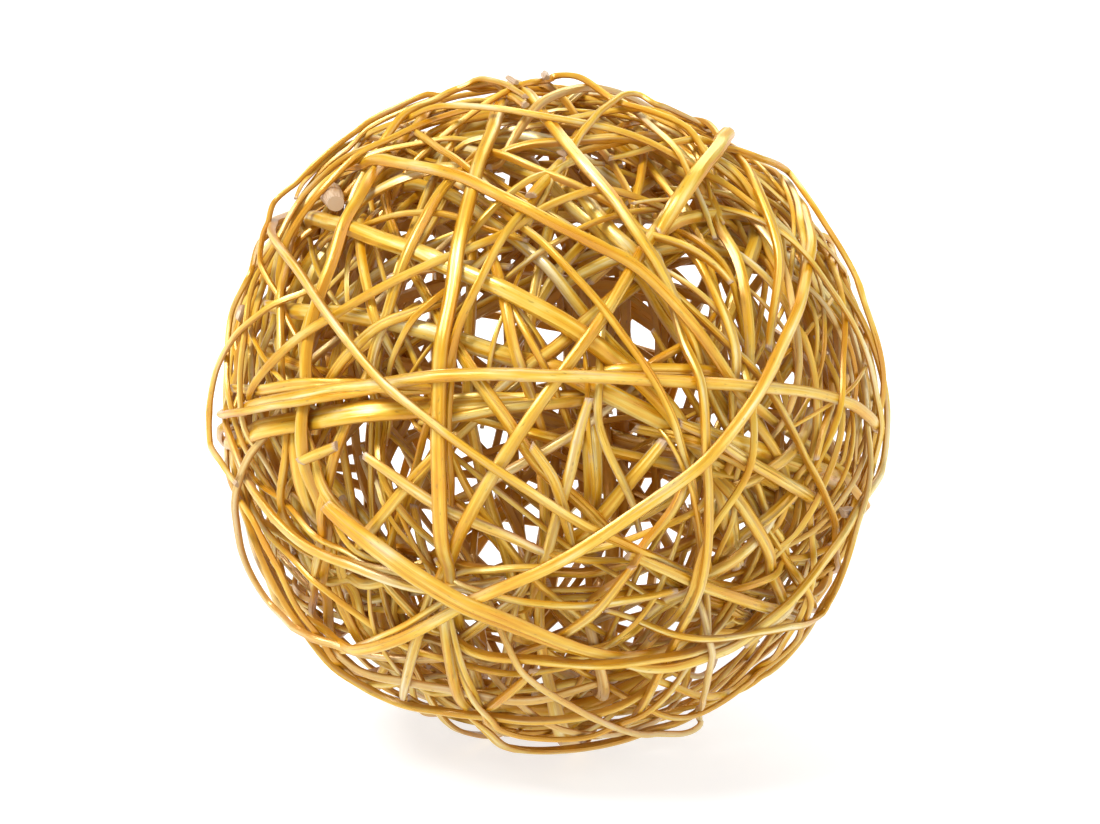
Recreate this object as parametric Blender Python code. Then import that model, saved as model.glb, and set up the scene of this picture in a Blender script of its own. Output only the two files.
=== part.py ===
"""Decorative sphere: a hollow ball of willow strands, wound every way and painted gold.

Each strand is one open hoop lying on a circle of the ball.  On its way round it rises and
dips between the other strands, passing over some and under others without touching them,
and both its ends are tucked towards the hollow inside.  Two flat hoops carry the ball on
short level stretches at the bottom, so it stands where it is put instead of rolling.
"""
import math

import bpy
import numpy as np

# Driving dimensions, in metres and degrees
BALL_RADIUS = 0.100          # no strand stands out further than this
CENTRE_HEIGHT = 0.0992       # ball centre above the surface it stands on
HOLLOW_RADIUS = 0.0765       # inner faces of the strands stay outside this
NOD = 12.0                   # the whole weave leans back from upright by this
STRETCH = 15.7               # one straight stretch of a strand, as seen from the centre
WHOLE = 22                   # stretches in a whole hoop; the rest of the turn stays open
GAP = 0.00036                # kept free between strands that cross
SIDE_GAP = 0.0004            # kept free beside a strand
FLOOR_GAP = 0.0005           # kept free under every strand but the two feet
TUCKED = 0.0855              # where the ends of a strand settle
TAPER = 0.8                  # size of the section at an end, against the middle

# Strand sections: width across the ball's face, thickness from inside to outside
SECTIONS = {
    "broad": (0.0043, 0.0012),
    "strip": (0.0035, 0.0013),
    "slim": (0.0029, 0.0012),
    "thin": (0.0023, 0.0011),
    "rod": (0.0038, 0.0021),
    "foot": (0.0046, 0.0013),
}
COLOURS = {                  # base colour, roughness, metallic
    "broad": ((0.80, 0.56, 0.15), 0.38, 0.65),
    "strip": ((0.78, 0.53, 0.13), 0.38, 0.65),
    "slim": ((0.76, 0.52, 0.14), 0.40, 0.60),
    "thin": ((0.74, 0.51, 0.15), 0.42, 0.60),
    "rod": ((0.70, 0.45, 0.10), 0.42, 0.60),
    "foot": ((0.76, 0.52, 0.14), 0.40, 0.60),
}

# How each hoop lies, seen from the front.  lean: how far its right end is raised; swing:
# how far its near half is lifted above the ball centre; drift: how far the whole hoop is
# shifted along its own axis.  Where an end shows, or a strand is short, the row also gives
# how far it reaches to the left and right of the point nearest the viewer, and which of the
# two ends is not tucked in.  Lists run from the outermost strand inwards.
OUTER = [                    # kind, lean, swing, drift
    ("strip", 39, -27, 6),
    ("slim", -85, 24, 1),
    ("slim", 1, 9, -4),
    ("broad", -31, -30, -3, -22, 277, "left"),
    ("strip", -35, -12, 1),
    ("strip", -33, 14, 14),
    ("slim", -60, 4, 23),
    ("strip", 81, 20, 26),
    ("broad", 87, 10, 6),
    ("strip", -8, -21, -21),
    ("slim", -41, 17, 13),
    ("thin", -26, 34, 20),
    ("strip", 57, 2, -1, -263, 82, "right"),
    ("slim", 12, -33, -28),
    ("thin", 40, 80, -8),
    ("thin", 87, -52, 4),
    ("broad", 4, 2, 0, -128, 14, "neither"),
]
UNDER = [
    ("rod", -32, 11, 3),
    ("rod", -15, 4, 4, -64, 281, "left"),
]
MIDDLE = [
    ("thin", -58, -16, 0),
    ("thin", -11, -31, -2),
    ("thin", 14, -15, -20),
    ("slim", 78, 25, 2),
    ("thin", 66, -6, -24),
    ("thin", 5, -58, 3),
    ("thin", 18, 22, 8),
    ("thin", -88, 35, 0),
    ("slim", -59, 26, -10),
    ("strip", -51, -14, 8),
    ("slim", 69, 18, 0),
    ("slim", 72, 3, -9, -278, 5, "right"),
    ("slim", 75, 5, 29),
    ("slim", 43, 5, 0),
    ("thin", 10, 49, 0),
    ("thin", 88, -34, 0),
    ("thin", 30, 26, 0),
    ("slim", 83, -41, 4),
    ("thin", -41, -15, 0),
]
INNER = [
    ("rod", -49, 17, 0),
    ("rod", 53, -15, 0, -244, 8, "right"),
    ("strip", 0, -32, 0),
    ("slim", -89, -43, 0),
]
OUT, BETWEEN, BELOW, IN = 0.0985, 0.0935, 0.0920, 0.0840    # where these groups settle
FILLERS = 9                  # further inner rods, spread evenly over all directions
FIRST_FILLER = 0.9           # where round the ball the first of them lies, part of a turn
FEET = (("foot_left", 28, 7), ("foot_right", 10, -7))    # name, swing, drift
FOOT_KEEP = 0.0003           # extra room round a foot hoop, which is not rolled to the ball
GOLDEN = 0.5 * (3.0 - math.sqrt(5.0))    # golden section of a turn

# Threading: radial steps tried at every station, and fine samples along each stretch
STEP = 0.0005
BIN = 0.0001
FINE = 22
ACROSS = 5
STEEPEST = 0.010             # largest rise or dip over one stretch
ASIDE = (0, 2, -2, 4, -4, 6, -6)
TRIES = 3                    # positions of the ends tried for every strand
ENDS_SPREAD = 100.0          # degrees over which the ends are spread on the far side
NEARBY = 0.1                 # a strand further off than this, in radians, is not in the way
PULL, RISE, BEND = 0.2, 0.3, 1.0    # weights of the preferred level, of slopes, of bends


def hoop_axes(lean, swing, nod):
    """Right, away and axis directions of a hoop, as the columns of a matrix."""
    def turn(angle, fixed):
        c, s = math.cos(angle), math.sin(angle)
        if fixed == "x":
            return np.array([[1, 0, 0], [0, c, -s], [0, s, c]])
        return np.array([[c, 0, s], [0, 1, 0], [-s, 0, c]])
    return turn(-nod, "x") @ turn(-lean, "y") @ turn(-swing, "x")


class Strand:
    """One hoop: how it lies, its section, and how far out each of its stations is."""

    def __init__(self, name, kind, lean, swing, drift, start, count=WHOLE, nod=NOD):
        self.name, self.kind, self.count = name, kind, count
        self.width, self.thickness = SECTIONS[kind]
        self.lean, self.swing = math.radians(lean), math.radians(swing)
        self.drift = math.radians(drift)
        self.start, self.span = math.radians(start), math.radians(STRETCH * count)
        self.axes = hoop_axes(self.lean, self.swing, math.radians(nod))
        self.keep = FOOT_KEEP if kind == "foot" else 0.0
        self.radii = None

    def angles(self, finer=1):
        return self.start + self.span * np.linspace(0.0, 1.0, self.count * finer + 1)

    def directions(self, angles, side):
        """Unit vectors from the ball centre, shifted across the strand by side radians."""
        rise = self.drift + side
        local = np.stack([np.cos(rise) * np.cos(angles), np.cos(rise) * np.sin(angles),
                          np.sin(rise) * np.ones_like(angles)], -1)
        return local @ self.axes.T

    def radius_at(self, angles):
        """Distance from the ball centre along the straight stretches between stations."""
        step = math.radians(STRETCH)
        place = np.clip((angles - self.start) / step, 0.0, self.count - 1e-6)
        k = place.astype(int)
        part = (place - k) * step
        near, far = self.radii[k], self.radii[k + 1]
        return math.sin(step) / (np.sin(step - part) / near + np.sin(part) / far)


def place_on(hoop, directions):
    """Turn along a hoop and rise beside it, for directions from the ball centre."""
    local = directions @ hoop.axes
    turn = (np.arctan2(local[..., 1], local[..., 0]) - hoop.start) % (2 * math.pi)
    turn = np.where(turn > math.pi + hoop.span / 2, turn - 2 * math.pi, turn)
    return turn, np.arcsin(np.clip(local[..., 2], -1, 1)) - hoop.drift


def taken(strand, laid):
    """For every fine sample along a strand, which distances from the centre are taken."""
    bins = np.arange(HOLLOW_RADIUS, BALL_RADIUS + 2 * max(STEP, strand.thickness), BIN)
    along = strand.angles(FINE)[:, None]
    middle_line = strand.directions(along, np.zeros_like(along))
    across = np.linspace(-0.5, 0.5, ACROSS)[None, :] * strand.width
    room = strand.thickness / 2 + strand.keep
    if strand.kind == "foot":
        high = np.full(len(along), BALL_RADIUS + STEP)
    else:
        edges = strand.directions(along + 0 * across, across / BALL_RADIUS + 0 * along)
        down = np.maximum(-edges[..., 2], 0.01).max(1)
        high = np.minimum(BALL_RADIUS, (CENTRE_HEIGHT - FLOOR_GAP) / down) - room
    full = (bins > high[:, None]) | (bins < HOLLOW_RADIUS + room)
    for other in laid:
        turn, rise = place_on(other, middle_line)
        reach = other.radius_at(other.start + turn)
        near = np.abs(rise) < NEARBY
        if not near.any():
            continue
        side = across / reach
        turn, rise = place_on(other, strand.directions(along + 0 * side, side))
        reach = other.radius_at(other.start + turn)
        ends = SIDE_GAP / reach
        meets = (np.abs(rise) * reach < other.width / 2 + SIDE_GAP)
        meets &= (turn > -ends) & (turn < other.span + ends)
        away = room + other.thickness / 2 + other.keep + GAP
        for i, j in zip(*np.nonzero(meets)):
            a, b = np.searchsorted(bins, (reach[i, j] - away, reach[i, j] + away))
            full[i, a:b] = True
    return bins, full


def thread(strand, laid, liking, fixed=None):
    """Choose the distance of every station so that the strand clears all laid strands.

    liking holds the preferred distance at each station; fixed maps station numbers to
    distances that must be kept.  The path found has the least cost of bends, rises, dips
    and departures from the preferred distances; the cost is infinite if there is no path.
    """
    bins, full = taken(strand, laid)
    fixed = fixed or {}
    levels = np.arange(HOLLOW_RADIUS + STEP, BALL_RADIUS, STEP)
    levels = np.concatenate([levels, sorted(set(fixed.values()))])
    step = math.radians(STRETCH)
    part = step * np.linspace(0.0, 1.0, FINE + 1)[:, None, None]
    near, far = levels[:, None], levels[None, :]
    chord = math.sin(step) / (np.sin(step - part) / near + np.sin(part) / far)
    slots = np.clip(np.round((chord - bins[0]) / BIN).astype(int), 0, len(bins) - 1)
    rows = np.arange(FINE + 1)[:, None, None]
    steep = np.where(np.abs(far - near) > STEEPEST, np.inf, RISE * (far - near) ** 2)
    bend = BEND * ((far - near)[None] - (far - near)[:, :, None]) ** 2

    def wish(k):
        if k in fixed:
            return np.where(np.isclose(levels, fixed[k]), 0.0, np.inf)
        return PULL * (levels - liking[k]) ** 2

    def stretch(k):
        window = full[k * FINE:(k + 1) * FINE + 1]
        blocked = window[rows, slots].any(0)
        return np.where(blocked, np.inf, steep) + wish(k + 1)

    cost, route = wish(0)[:, None] + stretch(0), []
    for k in range(1, strand.count):
        total = cost[:, :, None] + bend
        came = total.argmin(0)
        route.append(came)
        cost = np.take_along_axis(total, came[None], 0)[0] + stretch(k)
    if np.isfinite(cost.min()):
        before, last = np.unravel_index(cost.argmin(), cost.shape)
        pick = [int(last), int(before)]
        for came in reversed(route):
            pick.append(int(came[pick[-1], pick[-2]]))
        strand.radii = levels[pick[::-1]]
    return cost.min()


def likings(level, count=WHOLE, shown=None):
    """Preferred distance at every station: the level, and tucked in at ends not shown."""
    wanted = np.full(count + 1, level)
    if shown != "left":
        wanted[0] = TUCKED
    if shown != "right":
        wanted[-1] = TUCKED
    return wanted


def foot_hoops():
    """The two upright hoops the ball stands on, each level along its lowest stretch."""
    lowest = WHOLE // 3                       # number of the level stretch
    start = 180.0 - (lowest + 0.5) * STRETCH
    laid = []
    for name, swing, drift in FEET:
        hoop = Strand(name, "foot", 90, swing, drift, start, nod=0.0)
        reach = (CENTRE_HEIGHT - hoop.thickness / 2) / math.cos(math.radians(STRETCH / 2))
        reach /= math.cos(hoop.drift)
        wanted = likings(IN)
        wanted[lowest - 1:lowest + 3] = reach
        thread(hoop, laid, wanted, {lowest: reach, lowest + 1: reach})
        laid.append(hoop)
    return laid


def lay(name, row, start, level, laid):
    """Thread one strand, swinging it a little aside only where there is no way through."""
    kind, lean, swing, drift, *ends = row
    count, tries, shown = WHOLE, TRIES, None
    if ends:
        left, right, shown = ends
        start, tries = left - 90.0, 1
        count = round((right - left) / STRETCH)
    for aside in ASIDE:
        tried = []
        for shift in range(tries):
            first = start + shift * STRETCH / TRIES
            strand = Strand(name, kind, lean, swing + aside, drift, first, count)
            tried.append((thread(strand, laid, likings(level, count, shown)), shift, strand))
        cost, _, strand = min(tried)
        if math.isfinite(cost):
            return strand
    raise ValueError("no way through for " + name)


def wind_ball():
    """Lay all the strands, each between those already laid, the outer group first."""
    laid = foot_hoops()
    rows = [(row, OUT) for row in OUTER] + [(row, BELOW) for row in UNDER]
    rows += [(row, IN) for row in INNER]
    for i in range(FILLERS):
        lean = 180.0 * ((i * GOLDEN + FIRST_FILLER) % 1.0) - 90.0
        swing = math.degrees(math.asin((i + 0.5) / FILLERS * 2 - 1))
        rows.append((("rod", lean, swing, 0), IN))
    rows += [(row, BETWEEN) for row in MIDDLE]
    numbers = {}
    for i, (row, level) in enumerate(rows):
        kind = row[0]
        numbers[kind] = numbers.get(kind, 0) + 1
        behind = 90.0 + ENDS_SPREAD * ((i * GOLDEN) % 1.0 - 0.5)
        start = behind + (360.0 - STRETCH * WHOLE) / 2
        laid.append(lay(f"{kind}_{numbers[kind]:02d}", row, start, level, laid))
    return laid


def clear_scene():
    for thing in list(bpy.data.objects):
        bpy.data.objects.remove(thing, do_unlink=True)


def section_curve(kind, home):
    """Rectangular section swept along a strand: thickness along X, width along Y."""
    width, thickness = SECTIONS[kind]
    data = bpy.data.curves.new("section_" + kind, "CURVE")
    data.dimensions = "2D"
    line = data.splines.new("POLY")
    line.points.add(3)
    corners = ((-1, -1), (-1, 1), (1, 1), (1, -1))
    for point, (x, y) in zip(line.points, corners):
        point.co = (x * thickness / 2, y * width / 2, 0.0, 1.0)
    line.use_cyclic_u = True
    thing = bpy.data.objects.new("section_" + kind, data)
    thing.hide_render = True
    thing.display_type = "WIRE"
    home.objects.link(thing)
    return thing


def paint(name, kind, number):
    """Gold paint, a little lighter or darker from strand to strand."""
    (red, green, blue), roughness, metallic = COLOURS[kind]
    tone = 0.92 + 0.16 * ((number * GOLDEN) % 1.0)
    coat = bpy.data.materials.new("gold_" + name)
    coat.use_nodes = True
    shader = coat.node_tree.nodes["Principled BSDF"]
    shader.inputs["Base Color"].default_value = (red * tone, green * tone, blue * tone, 1.0)
    shader.inputs["Roughness"].default_value = roughness
    shader.inputs["Metallic"].default_value = metallic
    return coat


def build_strand(strand, section, holder, home, number):
    """Sweep the section along the hoop, rolled so that it lies flat on the ball."""
    data = bpy.data.curves.new(strand.name, "CURVE")
    data.dimensions = "3D"
    data.twist_mode = "Z_UP"
    data.bevel_mode = "OBJECT"
    data.bevel_object = section
    data.use_fill_caps = True
    line = data.splines.new("POLY")
    line.points.add(strand.count)
    roll = 0.0 if strand.kind == "foot" else -strand.drift
    for k, (angle, reach) in enumerate(zip(strand.angles(), strand.radii)):
        out = reach * math.cos(strand.drift)
        line.points[k].co = (out * math.cos(angle), out * math.sin(angle),
                             reach * math.sin(strand.drift), 1.0)
        line.points[k].tilt = roll
        line.points[k].radius = TAPER if k in (0, strand.count) else 1.0
    thing = bpy.data.objects.new(strand.name, data)
    thing.rotation_euler = (-strand.swing, -strand.lean, 0.0)
    thing.parent = holder
    data.materials.append(paint(strand.name, strand.kind, number))
    home.objects.link(thing)


def build():
    clear_scene()
    home = bpy.data.collections.new("Decorative sphere")
    guides = bpy.data.collections.new("guides")
    for group in (home, guides):
        bpy.context.scene.collection.children.link(group)
    centre = bpy.data.objects.new("ball_centre", None)
    centre.location = (0.0, 0.0, CENTRE_HEIGHT)
    weave = bpy.data.objects.new("weave", None)
    weave.rotation_euler = (math.radians(-NOD), 0.0, 0.0)
    weave.parent = centre
    for holder in (centre, weave):
        home.objects.link(holder)
    sections = {kind: section_curve(kind, guides) for kind in SECTIONS}
    for number, strand in enumerate(wind_ball()):
        holder = centre if strand.kind == "foot" else weave
        build_strand(strand, sections[strand.kind], holder, home, number)


if __name__ == "__main__":
    build()
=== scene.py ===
# Decorative sphere: the looks of a hollow ball of willow strands painted gold.
# Every CAD strand is replaced by a split willow strip or a rod that follows the same hoop,
# with a domed section, bends, bud nodes, twists, cut ends and worn gold paint. Slender strands
# that the CAD leaves out are added, and then all of them settle over and under each other.
# Lengths are in metres unless a comment says millimetres.
import math

import bpy
import numpy as np
from mathutils import Matrix, Vector, kdtree


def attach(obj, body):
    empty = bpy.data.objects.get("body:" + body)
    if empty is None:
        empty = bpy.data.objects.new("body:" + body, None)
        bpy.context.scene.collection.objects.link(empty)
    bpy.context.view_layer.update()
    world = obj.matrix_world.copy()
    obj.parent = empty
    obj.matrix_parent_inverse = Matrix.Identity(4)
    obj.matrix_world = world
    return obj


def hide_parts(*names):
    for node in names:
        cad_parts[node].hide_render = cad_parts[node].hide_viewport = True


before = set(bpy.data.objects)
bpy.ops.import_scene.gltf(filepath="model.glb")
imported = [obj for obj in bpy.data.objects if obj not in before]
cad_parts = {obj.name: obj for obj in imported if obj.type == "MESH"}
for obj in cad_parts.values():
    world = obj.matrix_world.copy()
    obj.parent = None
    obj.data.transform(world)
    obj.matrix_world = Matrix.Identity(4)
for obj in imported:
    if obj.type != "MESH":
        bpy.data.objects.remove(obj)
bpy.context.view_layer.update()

# ---------------- the ball and the camera
HEIGHT = 0.0992  # ball centre above the floor
CENTRE = np.array([0.0, 0.0, HEIGHT])
OUTLINE = 0.0997  # radius of the ball's outline
NOD = math.radians(12.0)  # the camera looks down by this, and the weave leans back
WEAVE = Matrix.Rotation(-NOD, 3, "X")
AWAY = np.array([0.0, -math.cos(NOD), math.sin(NOD)])  # from the ball toward the viewer
LENS, SENSOR = 85.0, 36.0  # in millimetres
BALL_SHARE = 0.31  # the ball's radius, against the width of the picture
ASIDE_SHARE = 1 / 550  # how far left of the picture's middle the ball stands
FAR = OUTLINE / math.sin(math.atan(BALL_SHARE * SENSOR / LENS))
EYE = CENTRE + np.array([FAR * ASIDE_SHARE * SENSOR / LENS, 0.0, 0.0]) + AWAY * FAR

# ---------------- how strands are laid
STRETCH = math.radians(15.7)  # one stretch between two stations of a strand
PER_STRETCH = 10  # samples along one stretch
RING_GAP = math.radians(4.0)  # the corners of one CAD ring lie closer than this
EASE = 20  # samples over which a bend eases off
MARGIN = 3  # samples that a bent strand shows beyond its places
STEP = 0.0027  # sample spacing along a trail
OUTERMOST = 0.1003  # no hoop's outer face lies further out
INNERMOST = 0.0770  # no strand's inner face lies further in
NEAR_LEVEL = 0.0835  # added hoops pass this deep on the viewer's side
END_DIPS = (0.008, 0.003)  # how far the last two stations of an added hoop dip
LIMB_ROOM = 0.0026  # hoops keep this far inside the strands of the outline
LIMB_REACH = 0.22  # and do so where facing() is below about this
SUNK = 0.0862  # where woven strands pass unseen on the viewer's side
SUNK_SPREAD = 0.0015  # which differs by this from strand to strand
RODS_DEEPER = 0.003  # and rods pass deeper
SINKS = (0.12, 0.30)  # facing() where that begins, and how much further it is complete
THINS = (-0.3, 0.3)  # the same for how they grow narrower
RESTS = (-0.88, 0.12)  # the same for how a foot, level at the bottom, goes over to its hoop
FLOOR_GAP = 0.0004  # strands are settled so far above the floor
LOWEST = 0.00005  # and no corner lies lower than this
GOLDEN = 0.5 * (3.0 - math.sqrt(5.0))  # its multiples are spread evenly over 0 to 1

# Beyond their places trails run on unseen, in tails
TAIL_DROPS = (0.0018, 0.0018, 0.0018, 0.0050)  # how far each stretch of a tail sinks
FACE = 0.45  # an end that faces the viewer more than this
FACE_DROPS = (0.0040, 0.0065)  # has half stretches as its tail, which sink by this
COMES_NEAR, DIVE = 0.35, 0.0070  # another tail that comes to face the viewer dives by this
TAIL_TOP, TAIL_FLOOR = 0.0975, 0.080  # tails stay between these distances from the centre
VEER = 9  # degrees by which each stretch of a tail turns aside

# Openings stay free on the way through the ball
NEAR_SIDE = 0.0930  # distance from the centre where openings are measured
CLEARINGS = 6  # rounds of drawing a strand aside
ASIDE_REACH, ASIDE_GAIN = 7.0, 1.9  # the shift is smoothed over samples and strengthened
STEADY = 6  # one strand in so many stays put on the far side

# kind: width and thickness, and how much the path keeps of its straight stretches
KINDS = {
    "broad": (0.0047, 0.0023, 0.40),
    "strip": (0.0038, 0.0023, 0.36),
    "slim": (0.0030, 0.0020, 0.30),
    "thin": (0.0022, 0.0017, 0.16),
    "wisp": (0.0015, 0.0012, 0.10),
    "rod": (0.0046, 0.0041, 0.45),
    "stub": (0.0066, 0.0060, 0.45),
    "foot": (0.0046, 0.0014, 0.25),
}
# How far a strand wanders to and fro on the ball, where it isn't bent through listed places
WANDERS = {"foot": 0.0, "thin": 0.0014, "slim": 0.0012, "other": 0.0009}
# By what share a strand is narrower where it passes unseen
UNSEEN = {"foot": 0.42, "rod": 0.36, "other": 0.22}

# Slender hoops that the CAD weave leaves out: kind, lean and swing in degrees, and level
SLENDER = [
    ("thin", -31, 74, 0.099), ("thin", -73, -74, 0.0985), ("slim", 4, -55, 0.096),
    ("thin", 27, -61, 0.0985), ("thin", -12, -81, 0.098), ("thin", -36, 61, 0.0985),
    ("thin", -67, 60, 0.0985), ("thin", 89, -48, 0.098), ("thin", -20, -59, 0.0985),
    ("thin", -52, 55, 0.096), ("slim", -86, 7, 0.09), ("thin", -20, 4, 0.09), ("thin", 62, -29, 0.093),
    ("thin", -27, -21, 0.092), ("thin", 65, 21, 0.094), ("thin", 40, -43, 0.095), ("slim", 26, -60, 0.094),
    ("slim", -77, -47, 0.094), ("thin", 41, -32, 0.091), ("slim", 55, -26, 0.09), ("thin", -83, -5, 0.089),
    ("thin", -13, 4, 0.09), ("thin", 78, -10, 0.088), ("slim", 20, -25, 0.09), ("slim", -34, -41, 0.093),
]
SLENDER_ARC = (68.0, 292.0)  # where they lie, in degrees from the viewer's side
# Further ones, the fillers, are spread evenly over all directions, kinds and levels in turn
FILLERS = 24
FILLER_ARC = (82.0, 278.0)
FILLER_KINDS = ("slim", "thin", "slim", "slim")
FILLER_START = 0.37  # share of half a turn at which their leans begin
FILLER_LEVEL, FILLER_RANGE = 0.0850, 0.0110  # the lowest, and how far they reach above it
FILLER_STEP = 0.618034  # share of that range from one to the next


def read_places(text):
    """Degrees right of the viewer, degrees up and millimetres of each place. A number that
    isn't given is that of the place before."""
    places = [[0.0, 0.0, 0.0]]
    for place in text.split(","):
        numbers = [float(number) for number in place.split()]
        places.append(numbers + places[-1][len(numbers):])
    return np.array(places[1:]).T


def read_rows(table):
    """Head and places of each row; a line that starts with a space runs on from the last."""
    for row in table.strip().replace("\n ", " ").split("\n"):
        head, places = row.split(":")
        yield head, read_places(places)


# Where the strands of the CAD weave pass on the viewer's side, bent as they were wound:
# name, then degrees right and degrees up of every place
BENDS = dict(read_rows("""
strip_01: 79 42.5, 63.5 33, 55 25, 46.5 17, 40.5 10, 35.5 3.5, 30 -3, 24 -9, 16.5 -14, 8.5 -19.5, 1 -24.5,
    -8.5 -28.5, -17 -32.5, -32 -39, -52.5 -42.5
strip_02: -75 33, -48.5 23, -35 12.5, -26.5 4.5, -20 0, -12 -6, -3 -12, 5 -17.5, 12.5 -21.5, 22.5 -26,
    28 -28.5
broad_01: -37 -15.5, -33 -18.5, -25.5 -24.5, -17.5 -30, -7 -35, 7 -41, 22 -45.5
broad_02: -44.5 79, -16.5 55.5, -16.5 46, -16.5 36, -16.5 28.5, -16.5 18, -17.5 10, -17.5 3.5, -17.5 -4.5,
    -17.5 -14, -19 -26.5
strip_04: -50.5 49, -43.5 38.5, -43.5 32.5, -42.5 25, -43.5 19, -44.5 14.5, -44.5 10, -43.5 2.5, -43.5 -3.5,
    -43.5 -7.5, -43.5 -12.5, -43.5 -17
strip_03: -78 47, -77.5 50, -49 47.5, -37 45.5, -24.5 43, -9.5 37, -0.5 32.5, 9.5 27.5, 16 24, 19 21,
    23 15.5, 28.5 9.5, 31.5 6, 33.5 2.5
slim_04: 24.5 19, 27.5 16, 31 13, 34.5 10, 37.5 6.5, 40.5 3.5, 43.5 -1, 46.5 -5, 50.5 -9, 53.5 -12,
    57 -15.5, 63 -19, 66 -22.5
slim_03: -37 80, -5 64.5, 3 51.5, 8.5 43, 13.5 36.5, 16.5 30, 20.5 23.5, 22 19.5, 23.5 15.5
slim_01: 23.5 11.5, 24.5 8, 25 3.5, 25.5 -1, 26 -7, 27 -11.5, 27.5 -17.5, 28.5 -23, 29 -31.5, 28.5 -35,
    28.5 -42, 28.5 -50.5, 32 -59, 38.5 -67.5
strip_06: 75.5 56.5, 48.5 50, 31 40, 22 32.5, 14.5 23, 9.5 15.5, 4 8.5, -1.5 1, -5.5 -5, -9.5 -11,
    -14.5 -19, -17.5 -23.5, -20 -28.5
slim_09: -5.5 34, -8 29, -10 24, -11.5 20, -13.5 16.5, -15 13.5, -16 10.5, -16 6.5
slim_07: -22 43, -23.5 38.5, -25 31.5, -26.5 26.5, -28 21.5, -29 16, -30.5 11.5, -32 9
thin_09: -82.5 -4, -59.5 2, -52 8, -46.5 11.5, -40.5 14.5, -33 19, -27.5 21.5, -24.5 23.5, -19.5 25,
    -15.5 28, -9.5 30, -5.5 33, -0.5 36.5, 5 38, 11.5 40
slim_13: 42.5 45, 40 35.5, 40 30.5, 39.5 24.5, 38.5 19.5, 38.5 15, 38.5 12
thin_07: 61 36.5, 55.5 31.5, 51 26.5, 47.5 21, 45 16, 42.5 11, 41 7.5, 39 3.5, 34.5 -3.5, 33.5 -6
thin_01: -75.5 55.5, -53 62, -22 59.5, -1 55.5, 20.5 53.5, 39.5 46, 44.5 40.5, 47.5 35.5, 56 32, 58 27
slim_08: -1.5 29.5, 2 25, 5.5 21, 8.5 17.5, 11 13.5, 13.5 10, 16 6.5, 18 3, 20 -0.5, 21.5 -4.5, 24.5 -10.5
rod_01: -70.5 37.5, -47.5 33.5, -35.5 30.5, -25.5 28, -19 25, -10.5 21.5, 0.5 16, 5.5 13, 9.5 10, 15 6.5,
    18 3, 22.5 -2, 26.5 -6.5
rod_02: -82 19.5, -60 18.5, -49.5 17.5, -40 17, -31 16, -19 13.5, -8.5 10, 2 7.5, 9 3.5, 16 0.5, 20.5 -2
rod_04: 20.5 -4, 17.5 -8.5, 14 -12.5, 11 -17, 8.5 -20.5
strip_08: -13 7.5, -10.5 4, -9 2, -6.5 -1, -3 -7, -0.5 -10, 2 -12.5, 5.5 -15, 7.5 -17
slim_10: 6.5 2, 5.5 -0.5, 4.5 -4.5, 4 -9, 3 -12.5, 2 -16, 1 -20, 0 -24.5, -2 -30
thin_06: 82 -21, 71.5 -23.5, 62.5 -25, 56 -27, 49 -28.5, 44.5 -30.5, 39 -32, 36.5 -33
strip_05: -23 -39.5, -21.5 -41.5, -19 -43, -14 -44, -8.5 -43.5, -0.5 -43.5, 7 -44, 18 -43.5, 24.5 -42.5,
    32.5 -42.5, 40 -42, 45.5 -40.5, 47 -39
thin_05: -82 0.5, -82 -6, -69 -11, -58 -15, -50.5 -18, -46 -21.5, -40.5 -24.5, -33.5 -27.5, -27.5 -29
thin_08: -82 -11, -77.5 -17.5, -67 -22.5, -56.5 -27, -50.5 -32.5, -47.5 -35, -43.5 -38, -41 -41.5,
    -37 -44.5, -27.5 -46.5, -19 -49, -6.5 -52
slim_11: -36 -3, -37.5 -6.5, -40 -11, -42 -15.5, -46 -21.5, -52.5 -28, -80.5 -39.5, -80 -42.5, -79 -45.5,
    -78 -48
thin_04: -17.5 -3, -17 -6.5, -15.5 -9.5, -13 -15.5, -11.5 -18, -9.5 -20.5, -7 -24, -5 -27, -2.5 -30,
    2 -34.5, 4 -36
slim_12: -33.5 -20.5, -29 -17, -26 -14, -23.5 -11.5, -21 -9, -17 -5, -13.5 -1.5, -11.5 0
thin_03: 51.5 16.5, 51.5 12, 52 8.5, 52.5 3.5, 53 -0.5, 53 -5, 51 -7.5
slim_02: -62.5 0.5, -53.5 1.5, -43 2.5, -34.5 4, -27.5 4.5, -24 5, -17 5.5, -7.5 6, -1 5.5, 8 5.5, 18 5,
    28.5 4.5, 36 4, 44 3.5, 53 2.5, 60 1.5, 66 -0.5, 74 -2.5
broad_03: -71.5 -5, -58 -3, -46.5 -1.5, -36 -0.5, -29.5 0.5, -24.5 0.5
"""))

# How much further out than in the CAD weave a bent strand lies; below zero, how much deeper
LIFTS = {
    "strip_06": 0.0040, "slim_07": 0.0055, "thin_09": 0.0030, "thin_06": 0.0065,
    "slim_12": 0.0050, "slim_11": 0.0040, "slim_10": 0.0030, "rod_04": 0.0050,
    "slim_08": 0.0020, "slim_03": 0.0020, "strip_08": -0.0035, "broad_01": 0.0025,
    "strip_01": -0.0010, "strip_03": -0.0015,
}

# Widths of single strands against the others of their kind
WIDTHS = {
    "strip_01": 0.77, "strip_02": 0.78, "strip_03": 0.76, "strip_05": 0.78, "broad_02": 0.95,
    "broad_03": 1.45, "thin_09": 1.10, "slim_04": 0.85, "slim_07": 0.85, "slim_08": 0.80,
    "slim_09": 0.85, "slim_11": 1.20, "slim_12": 1.15,
}

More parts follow.
